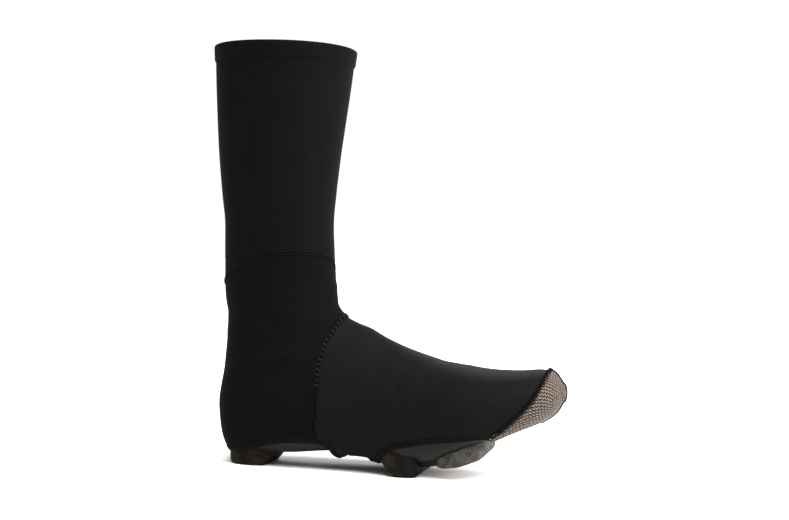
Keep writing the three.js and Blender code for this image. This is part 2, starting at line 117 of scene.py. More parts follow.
# Seams: row of the section and turn, the share of the way round from the front by the inner side
back_seam_path = [(row, 0.5) for row in (0.38, 1.5, 3, 5, 6.5, 8, 9.45)]
ankle_seam_path = [
    (5.83, 0.482), (5.76, 0.45), (5.66, 0.409), (5.45, 0.33), (5.26, 0.286), (5.12, 0.25),
    (5.05, 0.19), (5.04, 0.118), (5.14, 0.07), (5.23, 0.034), (5.4, 0), (5.75, -0.035),
    (6.15, -0.07), (6.9, -0.105), (7.7, -0.125), (8.45, -0.132), (9.15, -0.132),
]
instep_arch = [
    (8.95, 0.042), (9.33, 0.086), (9.68, 0.119), (10.06, 0.144), (10.43, 0.167), (10.72, 0.19),
]
instep_seam_path = [(11.53, 0.284), (11.38, 0.264), (11.2, 0.242), (10.99, 0.217)]
instep_seam_path += instep_arch[::-1] + [(8.8, 0)] + [(row, -turn) for row, turn in instep_arch]
instep_seam_path += [(11.0, -0.22), (11.34, -0.26)]

# The round front end of the opening under the toe: x, y, reach, half width and top as such shares
toe_window = (0.815, -0.03, 0.12, 0.3, 0.42)

# Ground pads: from and to as shares of the foot length, inner and outer of the ball width, and the
# corner's radius as a share of the shorter side; then their lower lines, x and z
heel_pad_plan = (0.04, 0.187, 0.25, 0.26, 0.46)
ball_pad_plan = (0.498, 0.608, 0.37, 0.41, 0.29)
toe_pad_plan = (0.655, 0.797, 0.385, 0.4, 0.46)
heel_pad_profile = [(0.02, 0.075), (0.045, 0.012), (0.06, 0), (0.153, 0), (0.2, 0.105)]
ball_pad_profile = [
    (0.48, 0.15), (0.5, 0.1), (0.52, 0.058), (0.546, 0), (0.614, 0), (0.63, 0.03),
]
toe_pad_profile = [
    (0.63, 0.062), (0.68, 0.07), (0.723, 0.087), (0.78, 0.133), (0.803, 0.178), (0.82, 0.24),
]


def section_table():
    rows = []
    for height, front, back, half_width in shaft_sections:
        z = instep_height + height * (boot_height - instep_height)
        ends = [shaft_setback + front * collar_depth, z, shaft_setback - back * collar_depth, z]
        widths = [half_width * collar_width] * 2
        rows.append(ends + widths + [shaft_belly, shaft_form, shaft_form])
    for top_x, top_z, sole_x, sole_z, inner, outer, *form in foot_sections:
        top = [top_x * foot_length, top_z * instep_height]
        sole = [sole_x * foot_length, sole_z * instep_height]
        rows.append(top + sole + [inner * ball_width, outer * ball_width] + form)
    return np.array(rows)


table = section_table()
last_row = len(table) - 1


def unit(v):
    return v / np.maximum(norm(v, axis=-1, keepdims=True), 1e-9)


def cubic(p0, p1, p2, p3, s):
    """The Catmull-Rom curve through four knots, a share s of the way from the second to the third."""
    square = (2 * p0 - 5 * p1 + 4 * p2 - p3) * s**2
    return 0.5 * (2 * p1 + (p2 - p0) * s + square + (3 * p1 - p0 - 3 * p2 + p3) * s**3)


def sections(row):
    """The nine section values at each row number, by a cubic through the table's rows."""
    i = np.clip(np.floor(row).astype(int), 0, last_row - 1)
    s = (row - i)[..., None]
    p1, p2 = table[i], table[i + 1]
    first, last = (i == 0)[..., None], (i == last_row - 1)[..., None]
    p0 = np.where(first, 2 * p1 - p2, table[np.maximum(i - 1, 0)])
    p3 = np.where(last, 2 * p2 - p1, table[np.minimum(i + 2, last_row)])
    return cubic(p0, p1, p2, p3, s)


def skin(row, turn, inset=0.0):
    """Points of the cover's surface, drawn in by inset, at a row and a turn each."""
    row, turn = np.broadcast_arrays(row, turn)
    v = sections(row)
    toward = unit(v[..., 2:4] - v[..., 0:2])
    toe_share = np.clip((row - last_row + toe_rows) / toe_rows, 0, 1)
    back = np.stack([inset * toe_share, np.zeros_like(row)], -1)
    top = v[..., 0:2] + toward * inset - back
    sole = v[..., 2:4] - toward * inset - back
    cos, sin = np.cos(turn * 2 * np.pi), np.sin(turn * 2 * np.pi)
    form = np.where(cos >= 0, v[..., 7], v[..., 8])
    along = np.abs(cos) ** (2 / form)
    across = np.abs(sin) ** (2 / form)
    belly = v[..., 6]
    share = np.where(cos >= 0, belly * (1 - along), belly + (1 - belly) * along)
    side = top + (sole - top) * share[..., None]
    y = np.where(sin >= 0, -across * (v[..., 4] - inset), across * (v[..., 5] - inset))
    return np.stack([side[..., 0], y, side[..., 1]], -1)


def spline(knots, count):
    """Points on a Catmull-Rom line through the knots."""
    k = np.array(knots, float)
    k = np.vstack([2 * k[0] - k[1], k, 2 * k[-1] - k[-2]])
    t = np.linspace(0, len(k) - 3, count)
    i = np.minimum(t.astype(int), len(k) - 4)
    s = (t - i)[:, None]
    return cubic(k[i], k[i + 1], k[i + 2], k[i + 3], s)


def running_sum(steps):
    return np.concatenate([[0], np.cumsum(steps)])


def lengths(points):
    """How far along a line each of its points lies."""
    return running_sum(norm(np.diff(points, axis=0), axis=1))


def columns_at(where, known, columns):
    """Each column of a table, whose rows are known at some lengths, at other lengths."""
    return np.stack([np.interp(where, known, column) for column in columns.T], -1)


def resample(points, step, closed=False):
    """The line again with points about step apart."""
    if closed:
        points = np.vstack([points, points[:1]])
    s = lengths(points)
    count = max(int(round(s[-1] / step)), 2)
    out = columns_at(np.linspace(0, s[-1], count + 1), s, points)
    return out[:-1] if closed else out


def smooth_line(points, times, closed=False):
    for _ in range(times):
        ends = points[[0, -1]]
        points = (np.roll(points, 1, 0) + 2 * points + np.roll(points, -1, 0)) / 4
        if not closed:
            points[[0, -1]] = ends
    return points


def smoothstep(high, x):
    t = np.clip(x / high, 0, 1)
    return t * t * (3 - 2 * t)


def side_line(shares):
    return spline(shares, 90) * [foot_length, instep_height]


def polygon_depth(polygon, p):
    """How far each point lies inside a polygon seen from the side, negative outside."""
    x, z = p[..., 0].ravel(), p[..., 2].ravel()
    best = np.full(x.shape, 1e9)
    inside = np.zeros(x.shape, bool)
    for (ax, az), (bx, bz) in zip(polygon, np.roll(polygon, -1, 0)):
        dx, dz = bx - ax, bz - az
        t = np.clip(((x - ax) * dx + (z - az) * dz) / max(dx * dx + dz * dz, 1e-12), 0, 1)
        best = np.minimum(best, np.hypot(x - ax - t * dx, z - az - t * dz))
        if az != bz:
            crosses = (az > z) != (bz > z)
            inside ^= crosses & (x < ax + (z - az) * dx / dz)
    return np.where(inside, best, -best).reshape(p.shape[:-1])


heel_line = side_line(heel_edge)
forefoot_line = side_line(forefoot_edge)
cap_line = side_line(cap_edge)


def below(line):
    """The polygon between an edge and a line well under the floor."""
    low = -instep_height
    return np.vstack([line, [line[-1, 0], low], [line[0, 0], low]])


def heel_opening(p):
    return polygon_depth(below(heel_line), p)


def forefoot_opening(p):
    depth = polygon_depth(below(forefoot_line), p)
    x, y, reach, half_width, top = toe_window
    half = half_width * ball_width
    u = (p[..., 0] - x * foot_length) / (reach * foot_length)
    v = (p[..., 1] - y * ball_width) / half
    window = (1 - np.hypot(u, v)) * half
    window = np.minimum(window, top * instep_height - p[..., 2])
    return np.maximum(depth, window)


def ahead_of_cap(p):
    far = 2 * foot_length
    polygon = np.vstack([cap_line, [far, cap_line[-1, 1]], [far, cap_line[0, 1]]])
    return polygon_depth(polygon, p)


# The grid over the cover: rings evenly spaced along the loft, points evenly spaced round each ring
ring_count = 330
ring_points = 240


def even_rows(first, last, count):
    r = np.linspace(first, last, 2000)
    ends = skin(r[:, None], [[0.0, 0.5]])
    s = running_sum(norm(np.diff(ends, axis=0), axis=2).mean(1))
    return np.interp(np.linspace(0, s[-1], count), s, r)


def even_turns(rows, count, inset=0.0):
    dense = np.linspace(0, 1, 1441)
    turns = []
    for r in rows:
        s = lengths(skin(r, dense, inset))
        turns.append(np.interp(np.arange(count) / count * s[-1], s, dense))
    return np.array(turns)


def grid_normals(p):
    """Outward normals of a grid that closes round its second axis."""
    down = np.gradient(p, axis=0)
    around = np.roll(p, -1, 1) - np.roll(p, 1, 1)
    return unit(np.cross(around, down))


rows = even_rows(0.0, last_row, ring_count)
turns = even_turns(rows, ring_points)
bare = skin(rows[:, None], turns)
bare_normals = grid_normals(bare)


def spot(x, z, side):
    """The point of the cover seen at x, z from the side: -1 inner, 1 outer, 0 the middle line."""
    y = bare[..., 1]
    wrong = np.abs(y) > 4 if side == 0 else y * side < 0
    miss = np.hypot(bare[..., 0] - x, bare[..., 2] - z) + 1e3 * wrong
    return bare[np.unravel_index(np.argmin(miss), miss.shape)]


def along_line(points, line):
    """Distance from each point to a line in space, and how far along the line, from 0 to 1."""
    best = np.full(points.shape[:-1], 1e9)
    where = np.zeros(points.shape[:-1])
    s = lengths(line)
    for k in range(len(line) - 1):
        a, d = line[k], line[k + 1] - line[k]
        t = np.clip(((points - a) @ d) / max(d @ d, 1e-9), 0, 1)
        gap = norm(points - a - t[..., None] * d, axis=-1)
        nearer = gap < best
        best = np.where(nearer, gap, best)
        where = np.where(nearer, (s[k] + t * (s[k + 1] - s[k])) / s[-1], where)
    return best, where


# Soft creases: height in millimetres, negative for a trough, half width, side and the x and z of
# the knots. The side is -1 for the inner one, 1 for the outer one and 0 from inner to outer.
creases = [
    # the ridge where the shoe's heel cup ends under the cloth, and the hollows above and below it
    (2.3, 4.5, -1, [(8, 82), (22, 84), (36, 87), (54, 91), (68, 96), (84, 104)]),
    (-2.0, 7.0, -1, [(18, 70), (35, 76), (50, 78), (66, 83), (80, 90)]),
    (-1.5, 6.0, -1, [(24, 98), (40, 101), (60, 106), (74, 112)]),
    (1.2, 6.0, 1, [(10, 82), (30, 86), (52, 92), (72, 100)]),
    (-1.0, 8.0, 1, [(20, 69), (42, 75), (64, 83)]),
    # folds over the front of the ankle
    (-0.8, 4.5, 0, [(74, 130), (86, 135), (97, 139), (86, 135), (74, 130)]),
    (0.9, 5.0, 0, [(80, 118), (92, 124), (104, 129), (92, 124), (80, 118)]),
    (0.6, 4.5, 0, [(78, 146), (88, 151), (95, 156), (88, 151), (78, 146)]),
    (-0.6, 5.0, 0, [(72, 158), (85, 163), (94, 167), (86, 163), (74, 157)]),
    (-0.9, 3.0, -1, [(63, 142), (69, 140), (74, 139)]),
    (-1.3, 6.0, -1, [(46, 131), (50, 122), (48, 112)]),
    # the slack above the heel
    (-0.6, 5.0, 0, [(30, 139), (16, 134), (5, 130), (16, 134), (32, 139)]),
    (0.5, 5.0, 0, [(34, 124), (18, 118), (5, 113), (18, 118), (34, 125)]),
    # the shaft
    (-0.35, 7.0, -1, [(30, 205), (50, 213), (72, 217), (90, 214)]),
    (0.3, 9.0, -1, [(24, 232), (48, 241), (74, 243)]),
    (-1.3, 12.0, -1, [(20, 340), (22, 305), (24, 262), (24, 225), (22, 185)]),
    (0.8, 10.0, -1, [(42, 340), (44, 300), (44, 255), (42, 215), (40, 185)]),
    (-0.35, 8.0, 1, [(28, 214), (52, 221), (78, 219)]),
    # the forefoot: the edge of the shoe's sole and the bend at the ball
    (0.5, 6.0, -1, [(130, 52), (160, 50), (190, 52), (215, 58), (238, 64)]),
    (-0.5, 6.0, -1, [(150, 38), (180, 40), (208, 46), (230, 52)]),
    (-0.45, 6.0, 0, [(176, 78), (186, 90), (196, 97), (190, 88), (182, 76)]),
    (0.4, 7.0, 0, [(206, 70), (212, 84), (218, 94), (214, 84), (208, 70)]),
    (-0.5, 7.0, -1, [(128, 96), (146, 88), (160, 78), (168, 66)]),
    (0.35, 8.0, -1, [(118, 74), (132, 66), (146, 60), (158, 58)]),
    # the strip under the foot sags at both its edges
    (3.0, 4.0, 0, [(112, 22), (113, 14), (114, 9), (113, 14), (112, 22)]),
    (3.2, 2.4, 0, [(140, 24), (142, 14), (143, 9), (142, 14), (140, 24)]),
    (3.6, 2.4, 0, [(147, 24), (149, 14), (150, 9), (149, 14), (147, 24)]),
    # the rolled edge under the heel
    (1.0, 2.0, -1, [(8, 17), (22, 19), (36, 23), (50, 29)]),
    (0.9, 1.8, -1, [(30, 16), (42, 21), (58, 29), (72, 33)]),
    # gathers where the strip under the foot is sewn to the side
    (1.2, 1.6, -1, [(109, 28), (111, 21), (113, 13)]),
    (1.0, 1.6, -1, [(115, 26), (117, 20), (119, 13)]),
    (0.9, 1.6, -1, [(121, 24), (123, 18), (125, 13)]),
    (1.4, 1.7, -1, [(139, 24), (141, 18), (143, 12)]),
    (1.5, 1.6, -1, [(145, 25), (147, 19), (148, 12)]),
    (1.2, 1.5, -1, [(150, 25), (151, 19), (152, 13)]),
    (0.9, 1.6, 1, [(112, 26), (114, 20), (116, 13)]),
    (0.8, 1.6, 1, [(118, 26), (120, 20), (122, 13)]),
    (0.9, 1.6, 1, [(141, 24), (143, 18), (145, 12)]),
]


def relief(points):
    """How far the creases lift each point. They fade out towards their ends."""
    total = np.zeros(points.shape[:-1])
    for height, half_width, side, knots in creases:
        sides = [side] * len(knots) if side else [-1, -1, 0, 1, 1]
        line = spline([spot(x, z, k) for (x, z), k in zip(knots, sides)], 28)
        gap, where = along_line(points, line)
        fade = smoothstep(0.3, where) * smoothstep(0.3, 1 - where)
        total += height * fade * np.exp(-((gap / half_width) ** 2))
    return total


cover = bare + bare_normals * relief(bare)[..., None]


def grid_faces(rings, around, closed=True, joined=False):
    """The quads of a grid of points. closed joins the ends of its second axis, joined of its first."""
    counts = np.arange(rings if joined else rings - 1), np.arange(around if closed else around - 1)
    r, c = np.meshgrid(*counts, indexing="ij")
    n = (c + 1) % around
    here, after = r * around, (r + 1) % rings * around
    return np.stack([here + c, here + n, after + n, after + c], -1).reshape(-1, 4)


def surface_tree(grid, quads):
    return BVHTree.FromPolygons(grid.reshape(-1, 3).tolist(), quads.tolist())


cover_quads = grid_faces(ring_count, ring_points)
flat_cover = cover.reshape(-1, 3)
flat_normals = grid_normals(cover).reshape(-1, 3)
cover_tree = surface_tree(cover, cover_quads)


def on_cover(points):
    """The nearest points of the cover, creases included, and its smoothed normals there."""
    places, corners = [], []
    for p in points.reshape(-1, 3):
        place, _, index, _ = cover_tree.find_nearest(Vector(p))
        places.append(tuple(place))
        corners.append(index)
    places = np.array(places)
    ids = cover_quads[np.array(corners)]
    gaps = norm(flat_cover[ids] - places[:, None], axis=2)
    weights = 1 / (gaps + 0.05)
    normals = unit((flat_normals[ids] * weights[..., None]).sum(1))
    return places.reshape(points.shape), normals.reshape(points.shape)


def contours(field, points):
    """Lines where field is zero on a grid that closes round its second axis, longest first.

    Each is an array of points and whether it closes."""
    rings, around = field.shape
    crossing = {}

    def cross(r0, c0, r1, c1):
        f0, f1 = field[r0, c0], field[r1, c1]
        if (f0 > 0) == (f1 > 0):
            return False
        step = (points[r1, c1] - points[r0, c0]) * (f0 / (f0 - f1))
        crossing[r0, c0, r1, c1] = points[r0, c0] + step
        return True

    links = {}
    sign = field > 0
    mixed = (sign[:-1] != sign[1:]) | (sign[:-1] != np.roll(sign, -1, 1)[:-1])
    mixed |= sign[:-1] != np.roll(sign, -1, 1)[1:]
    for r, c in np.argwhere(mixed):
        n = (c + 1) % around
        edges = [(r, c, r, n), (r, n, r + 1, n), (r + 1, c, r + 1, n), (r, c, r + 1, c)]
        found = [e for e in edges if cross(*e)]
        for a, b in zip(found[::2], found[1::2]):
            links.setdefault(a, []).append(b)
            links.setdefault(b, []).append(a)
    lines = []
    while links:
        start = next((k for k in links if len(links[k]) == 1), next(iter(links)))
        line, here = [start], start
        while links.get(here):
            there = links[here].pop()
            if here in links.get(there, []):
                links[there].remove(here)
            if not links[here]:
                del links[here]
            here = there
            line.append(here)
        links.pop(here, None)
        closed = line[0] == line[-1]
        lines.append((np.array([crossing[k] for k in line[: -1 if closed else None]]), closed))
    return sorted(lines, key=lambda item: -len(item[0]))


# How far the shoe moves along x into the frame that the part was packed in
shift_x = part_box("collar_hem")[0].x / MM - (shaft_setback - collar_depth / 2 - hem_turn)


def add(name, data, place=(0, 0, 0), turn=None):
    made = bpy.data.objects.new(name, data)
    bpy.context.scene.collection.objects.link(made)
    made.location = place
    if turn is not None:
        made.rotation_mode = "QUATERNION"
        made.rotation_quaternion = turn
    return made


def piece(name, points, faces, finish, replaces=(), attributes=()):
    """A mesh that rides on the shoe. points are in millimetres from the heel."""
    mesh = bpy.data.meshes.new(name)
    mesh.from_pydata(((points + [shift_x, 0, 0]) * MM).tolist(), [], faces)
    for key, values in attributes:
        kind = "FLOAT_VECTOR" if np.ndim(values) > 1 else "FLOAT"
        layer = mesh.attributes.new(key, kind, "POINT")
        field = "vector" if kind == "FLOAT_VECTOR" else "value"
        layer.data.foreach_set(field, np.asarray(values, np.float32).ravel())
    mesh.polygons.foreach_set("use_smooth", [True] * len(mesh.polygons))
    mesh.materials.append(finish)
    mesh.update()
    made = add(name, mesh)
    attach(made, "root")
    if replaces:
        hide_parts(*replaces)
    return made


def cut_piece(name, grid, quads, keep, finish, replaces=(), attributes=()):
    """A piece of the quads of a grid whose four corners are all kept."""
    quads = quads[keep.ravel()[quads].all(1)]
    ids, corners = np.unique(quads, return_inverse=True)
    faces = corners.reshape(quads.shape).tolist()
    attributes = [(key, values[ids]) for key, values in attributes]
    return piece(name, grid.reshape(-1, 3)[ids], faces, finish, replaces, attributes)


# Materials
def material(name, color, roughness, metallic=0.0, specular=0.5, sheen=0.0, coat=0.0):
    made = bpy.data.materials.new(name)
    made.use_nodes = True
    shader = made.node_tree.nodes["Principled BSDF"]
    values = {
        "Base Color": (*color, 1), "Roughness": roughness, "Metallic": metallic,
        "Specular IOR Level": specular, "Sheen Weight": sheen, "Sheen Roughness": 0.45,
        "Coat Weight": coat,
    }
    for key, value in values.items():
        plug(shader, key, value)
    return made, made.node_tree, shader


def plug(owner, key, value):
    """Links another node's output to an input, or sets a plain value on it."""
    if isinstance(value, bpy.types.NodeSocket):
        owner.id_data.links.new(value, owner.inputs[key])
    else:
        owner.inputs[key].default_value = value


def node(tree, kind, inputs=(), **settings):
    made = tree.nodes.new("ShaderNode" + kind)
    for key, value in settings.items():
        setattr(made, key, value)
    for key, value in dict(inputs).items():
        plug(made, key, value)
    return made


def math_node(tree, operation, a, b=0.0):
    return node(tree, "Math", {0: a, 1: b}, operation=operation).outputs[0]


def mix_color(tree, factor, a, b):
    return node(tree, "Mix", {0: factor, 6: a, 7: b}, data_type="RGBA").outputs[2]


def scaled(tree, tone, level):
    return node(tree, "VectorMath", {0: tone, 3: level}, operation="SCALE").outputs[0]


def place_of(tree):
    return node(tree, "TexCoord").outputs["Object"]


def noise(tree, where, scale, detail=2.0, rough=0.5, output="Fac"):
    inputs = {"Vector": where, "Scale": scale, "Detail": detail, "Roughness": rough}
    return node(tree, "TexNoise", inputs).outputs[output]


def stretch(tree, value, low, high, to_low=0.0, to_high=1.0):
    inputs = {"Value": value, "From Min": low, "From Max": high, "To Min": to_low, "To Max": to_high}
    return node(tree, "MapRange", inputs).outputs["Result"]


def attribute(tree, name, output="Fac"):
    return node(tree, "Attribute", attribute_name=name).outputs[output]


def bump(shader, height, distance, strength):
    inputs = {"Height": height, "Distance": distance, "Strength": strength}
    plug(shader, "Normal", node(shader.id_data, "Bump", inputs).outputs[0])


def cloth_material():
    """Black stretch cloth: a plain knit in shaft and ankle, a satin one in the forefoot."""
    made, tree, shader = material("neoprene", (0.01, 0.01, 0.01), 0.72, specular=0.025, sheen=0.005)
    where = place_of(tree)
    knit = noise(tree, where, scale=1500, detail=1.0)
    mottle = noise(tree, where, scale=60, detail=3.0, rough=0.6)
    front = attribute(tree, "forefoot")
    shaft_tone, ankle_tone = (0.002, 0.002, 0.002, 1), (0.0016, 0.0016, 0.0016, 1)
    forefoot_tone = (0.003038, 0.002945, 0.003472, 1)
    tone = mix_color(tree, attribute(tree, "ankle"), shaft_tone, ankle_tone)
    tone = mix_color(tree, front, tone, forefoot_tone)
    grain = math_node(tree, "MULTIPLY", stretch(tree, knit, 0.3, 0.7), 0.45)
    patch = math_node(tree, "MULTIPLY", stretch(tree, mottle, 0.3, 0.7), 0.2)
    level = math_node(tree, "ADD", math_node(tree, "ADD", grain, patch), 0.68)
    plug(shader, "Base Color", scaled(tree, tone, level))
    plug(shader, "Roughness", stretch(tree, front, 0, 1, 0.78, 0.62))
    height = math_node(tree, "ADD", knit, math_node(tree, "MULTIPLY", mottle, 1.5))
    bump(shader, height, distance=0.00016, strength=0.6)
    return made


def grained_material(name, tone, roughness, specular, grain, depth, sheen=0.0):
    """One tone, shaded and raised by fine noise. grain is its scale, detail and two levels."""
    made, tree, shader = material(name, tone, roughness, specular=specular, sheen=sheen)
    scale, detail, low, high = grain
    grain_noise = noise(tree, place_of(tree), scale, detail)
    level = stretch(tree, grain_noise, 0.3, 0.7, low, high)
    plug(shader, "Base Color", scaled(tree, tone, level))
    bump(shader, grain_noise, *depth)
    return made


def trim_material(name, tone, specular):
    weave = (1100, 1.0, 0.65, 1.25)
    return grained_material(name, tone, 0.7, specular, weave, depth=(0.00014, 0.7))


def thread_material(name, level):
    twist = (2600, 0.0, 0.6, 1.3)
    tone = (level, level * 0.98, level * 1.02)
    return grained_material(name, tone, 0.6, 0.04, twist, depth=(0.0001, 0.5))


# The dots of the toe caps: how far apart they lie round the cap, in millimetres, the share by which
# lengths along it count, which draws the dots out, and how far their rows stray
dot_pitch = 2.0
along_share = 0.5
dot_sway = 0.9


def dotted_material():
    """Dark brown cloth with a close diagonal grid of raised beige dots."""
    made, tree, shader = material("dotted_cloth", (0.05, 0.04, 0.035), 0.6, specular=0.2, sheen=0.02)
    weave = attribute(tree, "weave", "Vector")
    sway = scaled(tree, noise(tree, weave, scale=0.45, detail=1.0, output="Color"), dot_sway)
    moved = node(tree, "VectorMath", {0: weave, 1: sway}, operation="ADD").outputs[0]
    diagonal = {"Vector": moved, "Angle": math.radians(45)}
    turned = node(tree, "VectorRotate", diagonal, rotation_type="Z_AXIS").outputs[0]
    split = node(tree, "SeparateXYZ", {0: turned})
    cells = []
    for axis in (0, 1):
        share = math_node(tree, "MULTIPLY", split.outputs[axis], 1 / dot_pitch)
        part = math_node(tree, "SUBTRACT", math_node(tree, "FRACT", share), 0.5)
        cells.append(math_node(tree, "MULTIPLY", part, part))
    away = math_node(tree, "SQRT", math_node(tree, "ADD", *cells))
    dot = stretch(tree, away, 0.38, 0.24)
    fine = noise(tree, place_of(tree), scale=1800, detail=1.0)
    dark = mix_color(tree, fine, (0.004, 0.0027, 0.002, 1), (0.011, 0.0076, 0.0062, 1))
    light = mix_color(tree, fine, (0.096, 0.07, 0.054, 1), (0.175, 0.13, 0.102, 1))
    plug(shader, "Base Color", mix_color(tree, dot, dark, light))
    plug(shader, "Roughness", stretch(tree, dot, 0, 1, 0.8, 0.42))
    height = math_node(tree, "ADD", dot, math_node(tree, "MULTIPLY", fine, 0.3))
    bump(shader, height, distance=0.0003, strength=0.9)
    return made


def plate_material():
    made, tree, shader = material("hard_sole", (0.006, 0.006, 0.006), 0.36, specular=0.08, coat=0.03)
    where = place_of(tree)
    haze = noise(tree, where, scale=45, detail=3.0)
    level = stretch(tree, noise(tree, where, scale=2200, detail=1.0), 0.35, 0.65, 0.75, 1.3)
    plug(shader, "Base Color", scaled(tree, (0.0032, 0.0034, 0.0032), level))
    plug(shader, "Roughness", stretch(tree, haze, 0.3, 0.7, 0.26, 0.46))
    bump(shader, haze, distance=0.0004, strength=0.4)
    return made


def rubber_material(name, dark, worn, fleck, mud):
    """Rubber with paler specks, worn, dusty patches and some dried mud."""
    made, tree, shader = material(name, dark, 0.65, specular=0.05)
    where = place_of(tree)
    specks = noise(tree, where, scale=1300, rough=0.7)
    dots = math_node(tree, "MULTIPLY", stretch(tree, specks, 0.56, 0.66), 0.5)
    wear = noise(tree, where, scale=130, detail=4.0, rough=0.65)
    dirt = stretch(tree, noise(tree, where, scale=48, detail=3.0, rough=0.6), 0.52, 0.66)
    base = mix_color(tree, stretch(tree, wear, 0.35, 0.65), (*dark, 1), (*worn, 1))
    base = mix_color(tree, dirt, base, (*mud, 1))
    plug(shader, "Base Color", mix_color(tree, dots, base, (*fleck, 1)))
    plug(shader, "Roughness", stretch(tree, wear, 0.3, 0.7, 0.42, 0.8))
    bump(shader, math_node(tree, "ADD", specks, wear), distance=0.0005, strength=0.6)
    return made


def metal_material(name, color, rough):
    made, tree, shader = material(name, color, rough, metallic=1.0)
    scratch = noise(tree, place_of(tree), scale=380, detail=4.0, rough=0.7)
    dull, bright = [(*[c * share for c in color], 1) for share in (0.5, 1.3)]
    plug(shader, "Base Color", mix_color(tree, scratch, dull, bright))
    plug(shader, "Roughness", stretch(tree, scratch, 0.3, 0.7, rough * 0.7, rough * 1.4))
    bump(shader, scratch, distance=0.0003, strength=0.4)
    return made


cloth = cloth_material()
trim = trim_material("trim", (0.0019, 0.0019, 0.002), 0.03)
# The seam bands' dark tone is partly the seam tape's own colour and partly painted shade: the shadow
# where one panel's edge overlaps the next.
shaded_seam_band = trim_material("shaded_seam_band", (0.0011, 0.0011, 0.0012), 0.018)
pile = (900, 2.0, 0.6, 1.3)
lining = grained_material("lining", (0.014, 0.014, 0.0155), 0.9, 0.15, pile, (0.0004, 0.8), sheen=0.1)
dark_thread = thread_material("dark_thread", 0.0034)
seam_thread = thread_material("seam_thread", 0.0075)
pale_thread = thread_material("pale_thread", 0.026)
dotted = dotted_material()
plate = plate_material()
rubber = rubber_material(
    "tread_rubber", dark=(0.001, 0.001, 0.0009), worn=(0.0045, 0.0042, 0.0036),
    fleck=(0.02, 0.0185, 0.016), mud=(0.012, 0.0068, 0.0036),
)
toe_rubber = rubber_material(
    "toe_rubber", dark=(0.009, 0.0092, 0.0084), worn=(0.042, 0.04, 0.036),
    fleck=(0.15, 0.138, 0.124), mud=(0.075, 0.066, 0.058),
)
# The cleat's near-black colour is painted shade: it stands in for the shadow in the hollow between the
# pads, where the cleat sits.
shaded_cleat_metal = metal_material("cleat_steel", (0.02, 0.02, 0.021), 0.5)
brass = metal_material("bolt_brass", (0.62, 0.33, 0.12), 0.32)

# How deep each point of the cover lies in the openings and beyond the toe caps' rear edge
heel_depth = heel_opening(cover)
forefoot_depth = forefoot_opening(cover)
cap_depth = ahead_of_cap(cover)
side_turn = np.mod(turns + 0.5, 1) - 0.5


def seam_line(knots):
    """A seam's line on the cover, with points a millimetre apart."""
    path = spline(knots, 500)
    places, _ = on_cover(resample(skin(path[:, 0], path[:, 1]), 1.0))
    return smooth_line(places, 2)


def beyond(path):
    """1 where the cover lies beyond a seam, 0 before it, in a soft step. The turns of path fall."""
    row_at = np.interp(side_turn, path[::-1, 1], path[::-1, 0])
    return np.clip((rows[:, None] - row_at) * 12 + 0.5, 0, 1)


def panels():
    """How much each point of the cover belongs to the forefoot and to the ankle."""
    seam_foot = 95.0
    front = beyond(spline(instep_seam_path, 400))
    ahead = np.clip((cover[..., 0] - seam_foot) * 0.8 + 0.5, 0, 1)
    front = np.where(np.abs(side_turn) > 0.25, ahead, front)
    # The outer side of the shaft runs down whole
    inner_side = (side_turn > -0.134) & (side_turn < 0.5)
    ankle = np.where(inner_side, beyond(np.array(ankle_seam_path)), 0.0) * (1 - front)
    return [("forefoot", front.ravel()), ("ankle", ankle.ravel())]


def upper_cloth():
    """The outside of the cover, less the openings and what the toe caps hide."""
    under_cap = 5
    outside = (np.maximum(heel_depth, forefoot_depth) < 0) & (cap_depth < under_cap)
    cut_piece("upper_cloth", cover, cover_quads, outside, cloth, ["upper"], panels())


def upper_lining():
    rings, around = 170, 120
    lining_rows = even_rows(0.02, last_row - 1, rings)
    lining_turns = even_turns(lining_rows, around, neoprene_wall)
    inside = skin(lining_rows[:, None], lining_turns, neoprene_wall)
    shown = np.maximum(heel_opening(inside), forefoot_opening(inside)) < -0.5
    quads = grid_faces(rings, around)[:, ::-1]
    cut_piece("upper_lining", inside, quads, shown, lining)


def left_of(line, closed=False):
    """The direction to the left of a line on the cover, seen from outside, at each of its points."""
    along = np.roll(line, -1, 0) - np.roll(line, 1, 0) if closed else np.gradient(line, axis=0)
    return unit(np.cross(on_cover(line)[1], unit(along)))


def ribbon(line, profile, closed=False):
    """Rails along a line on the cover. profile lists the way across, to the left, and the lift."""
    side = left_of(line, closed)
    rails = []
    for across, lift in profile:
        place, out = on_cover(line + side * across)
        rails.append(place + out * lift)
    return np.array(rails)


def band(name, rails, finish, node_names=(), closed_line=False, closed_profile=True, fields=()):
    """A piece between rails, whose first axis goes across and second along."""
    count, length = rails.shape[:2]
    faces = grid_faces(count, length, closed_line, closed_profile)[:, [0, 3, 2, 1]].tolist()
    if closed_profile and not closed_line:
        faces.append([k * length for k in range(count)])
        faces.append([k * length + length - 1 for k in range(count)][::-1])
    piece(name, rails.reshape(-1, 3), faces, finish, node_names, fields)


def tubes(strands, radius):
    """Many short threads with five sides as one mesh. Each strand is an array of points."""
    verts, faces = [], []
    sides = 5
    end_share = 0.45
    circle = [(math.cos(a), math.sin(a)) for a in np.arange(sides) * 2 * np.pi / sides]
    for strand in strands:
        tangent = unit(np.gradient(strand, axis=0))
        up = np.array([0.3, 0.2, 1.0]) if abs(tangent[0, 2]) < 0.9 else np.array([1.0, 0.2, 0.1])
        right = unit(np.cross(tangent, up))
        above = np.cross(tangent, right)
        taper = np.ones(len(strand))
        taper[[0, -1]] = end_share
        start = len(verts)
        for p, x, y, w in zip(strand, right, above, taper):
            verts += [p + (x * cos + y * sin) * radius * w for cos, sin in circle]
        faces += (grid_faces(len(strand), sides) + start).tolist()
        faces.append(list(range(start, start + sides))[::-1])
        faces.append(list(range(len(verts) - sides, len(verts))))
    return np.array(verts), faces


def threads(name, strands, radius, finish):
    points, faces = tubes(strands, radius)
    piece(name, points, faces, finish)


